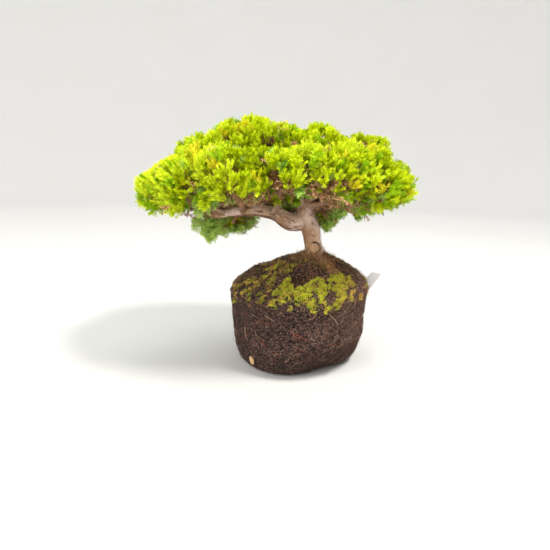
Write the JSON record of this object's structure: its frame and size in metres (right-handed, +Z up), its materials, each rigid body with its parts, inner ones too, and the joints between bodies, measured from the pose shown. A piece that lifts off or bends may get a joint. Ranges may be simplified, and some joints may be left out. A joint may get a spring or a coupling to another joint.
{
  "type": "juniper bonsai on its root ball",
  "caption": "Small juniper trained as a leaning garden bonsai, with pads of foliage over a bare trunk, lifted out of its pot and standing on its root ball.",
  "frame": {"origin": "centre of the root ball's flat underside", "axes": "+Z up, +X to the right as seen from the front of the tree, +Y to the back"},
  "size_m": [0.3199, 0.2364, 0.2968],
  "materials": {
    "compost": "damp dark peat compost bound by fine brown roots",
    "moss": "short yellow-green moss",
    "bark": "pale pinkish-brown bark that peels in thin strips",
    "needles": "bright yellow-green juniper needles on upright shoots",
    "shaded_needles": "darker blue-green juniper needles in the shade of the crown",
    "label_plastic": "smooth white plastic plant label"
  },
  "bodies": {
    "root": {"bough_back_centre": "bark", "bough_back_left": "bark", "bough_back_right": "bark", "bough_front_centre": "bark", "bough_front_left": "bark", "bough_front_right": "bark", "bough_front_top": "bark", "bough_hanging": "bark", "bough_inner_left": "bark", "bough_left": "bark", "bough_left_back": "bark", "bough_left_crown": "bark", "bough_left_front": "bark", "bough_left_outer": "bark", "bough_left_shoulder": "bark", "bough_right_back": "bark", "bough_right_low": "bark", "bough_right_tip": "bark", "bough_right_upper": "bark", "bough_sprig": "bark", "bough_top_centre": "bark", "bough_top_right": "bark", "foliage_back_centre": "needles", "foliage_back_left": "needles", "foliage_back_right": "needles", "foliage_front_centre": "needles", "foliage_front_left": "needles", "foliage_front_right": "needles", "foliage_front_top": "needles", "foliage_hanging_left": "shaded_needles", "foliage_inner_left": "shaded_needles", "foliage_left_back": "needles", "foliage_left_crown": "needles", "foliage_left_front": "needles", "foliage_left_shoulder": "needles", "foliage_left_tip": "needles", "foliage_right_back": "needles", "foliage_right_low": "shaded_needles", "foliage_right_tip": "needles", "foliage_right_upper": "needles", "foliage_top_centre": "needles", "foliage_top_right": "needles", "foliage_trunk_sprig": "shaded_needles", "moss_front": "moss", "moss_left": "moss", "plant_label": "label_plastic", "root_ball": "compost", "trunk": "bark"}
  },
  "joints": []
}
